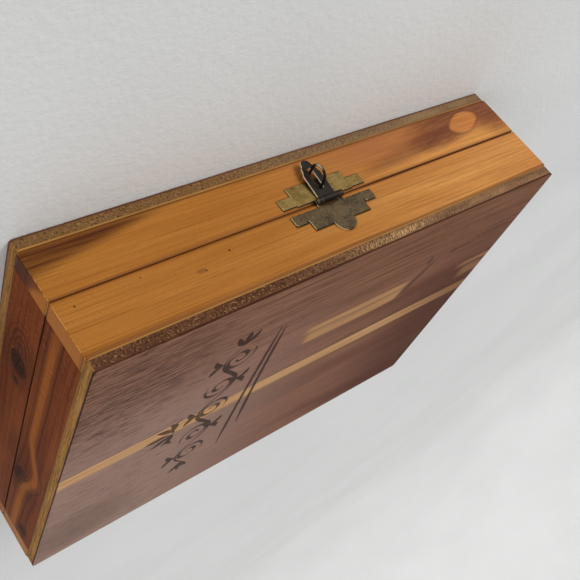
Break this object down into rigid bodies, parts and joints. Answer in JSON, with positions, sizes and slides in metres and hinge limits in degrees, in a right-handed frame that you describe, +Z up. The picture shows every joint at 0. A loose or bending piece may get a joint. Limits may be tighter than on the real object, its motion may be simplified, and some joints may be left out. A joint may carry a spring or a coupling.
{
  "type": "hinged wooden box",
  "caption": "Flat rectangular wooden keepsake box with a hinged lid, a light strip let into the lid face, and a front hasp over a staple loop.",
  "frame": {"origin": "centre of the flat underside of the base", "axes": "+X along the length, +Y from the clasp to the hinges, +Z up through the lid"},
  "size_m": [0.2794, 0.2174, 0.0635],
  "materials": {
    "cedar_wall": "clear varnished red cedar, honey orange, satin",
    "cedar_end": "clear varnished red cedar heartwood, red brown, satin",
    "cedar_face": "clear varnished cedar face ply, brown with darker grain",
    "ply_core": "raw crossband core, rough end grain",
    "ply_inner": "thin raw inner ply",
    "strip_wood": "clear varnished sapwood, pale tan",
    "dark_brass": "tarnished dark brass, worn bright on its edges",
    "light_brass": "dull brass with small dark pits",
    "hinge_brass": "dull brass, slightly tarnished"
  },
  "bodies": {
    "base": {"base_back_board": "cedar_wall", "base_front_board": "cedar_wall", "base_left_end_board": "cedar_end", "base_panel_core_ply": "ply_core", "base_panel_inner_ply": "ply_inner", "base_panel_outer_ply": "cedar_face", "base_right_end_board": "cedar_end", "hinge_left_base_leaf": "hinge_brass", "hinge_left_base_nail_1": "hinge_brass", "hinge_left_base_nail_2": "hinge_brass", "hinge_left_pin": "hinge_brass", "hinge_right_base_leaf": "hinge_brass", "hinge_right_base_nail_1": "hinge_brass", "hinge_right_base_nail_2": "hinge_brass", "hinge_right_pin": "hinge_brass", "staple_loop": "dark_brass", "staple_plate": "light_brass"},
    "lid": {"hasp_pin": "dark_brass", "hasp_plate": "dark_brass", "hinge_left_lid_leaf": "hinge_brass", "hinge_left_lid_nail_1": "hinge_brass", "hinge_left_lid_nail_2": "hinge_brass", "hinge_right_lid_leaf": "hinge_brass", "hinge_right_lid_nail_1": "hinge_brass", "hinge_right_lid_nail_2": "hinge_brass", "lid_back_board": "cedar_wall", "lid_face_back_leaf": "cedar_face", "lid_face_front_leaf": "cedar_face", "lid_front_board": "cedar_wall", "lid_inlay_strip": "strip_wood", "lid_left_end_board": "cedar_end", "lid_panel_core_ply": "ply_core", "lid_panel_inner_ply": "ply_inner", "lid_right_end_board": "cedar_end"},
    "hasp": {"hasp_strap": "dark_brass"}
  },
  "joints": [
    {"name": "lid_hinge", "type": "hinge", "parent": "base", "child": "lid", "pos_m": [0, 0.10325, 0.0308], "axis": [-1, 0, 0], "range_deg": [0, 160]},
    {"name": "hasp_hinge", "type": "hinge", "parent": "lid", "child": "hasp", "pos_m": [0.0008, -0.10385, 0.0312], "axis": [-1, 0, 0], "range_deg": [0, 170]}
  ]
}
